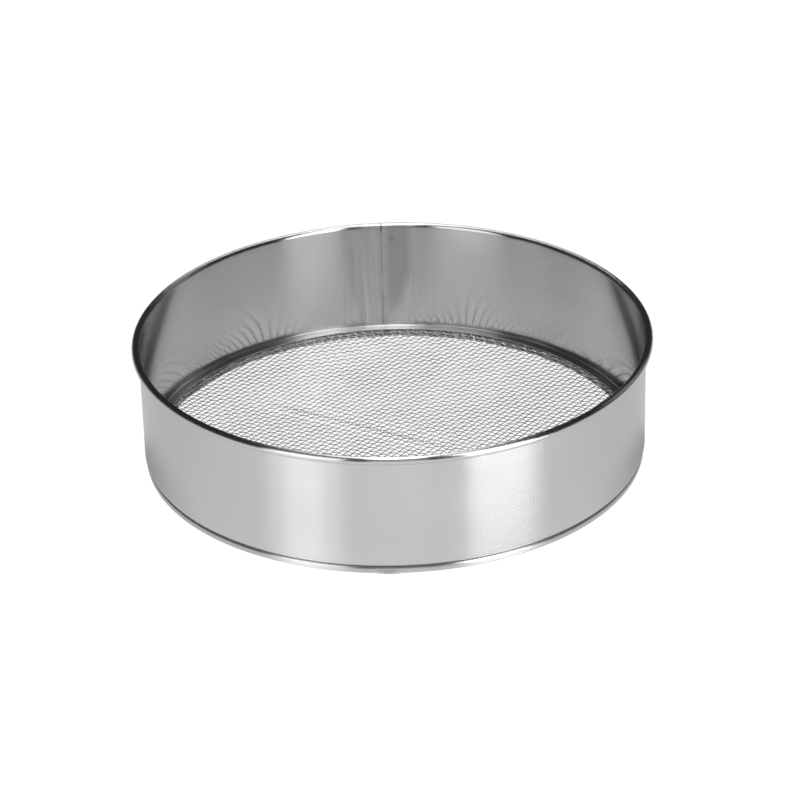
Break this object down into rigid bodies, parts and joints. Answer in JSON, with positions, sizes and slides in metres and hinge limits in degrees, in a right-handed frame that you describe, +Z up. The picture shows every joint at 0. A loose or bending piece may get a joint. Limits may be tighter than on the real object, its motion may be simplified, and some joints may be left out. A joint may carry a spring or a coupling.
{
  "type": "tamis drum sieve",
  "caption": "Flat round drum sieve: a thin steel hoop with a rolled rim and an inner ledge, and a coarse woven wire mesh clamped across its foot by a channel ring",
  "frame": {"origin": "centre of the foot, on the plane the sieve stands on", "axes": "+Z up along the drum's axis, from the mesh to the open rim; -Y is the front, opposite the side seam; +X to the right seen from the front"},
  "size_m": [0.305, 0.3048, 0.0756],
  "materials": {
    "drum_sheet": "satin, brushed round the drum",
    "rim_wire": "plain drawn wire",
    "mesh_wire": "bright drawn wire",
    "ring_sheet": "satin",
    "weld": "dull weld metal with a faint heat tint"
  },
  "bodies": {
    "root": {"drum_wall": "drum_sheet", "rim_wire": "rim_wire", "side_seam_weld": "weld", "mesh_warp_wires": "mesh_wire", "mesh_weft_wires": "mesh_wire", "bottom_ring": "ring_sheet", "clamp_spot_welds": "weld", "lap_spot_welds": "weld"}
  },
  "joints": []
}
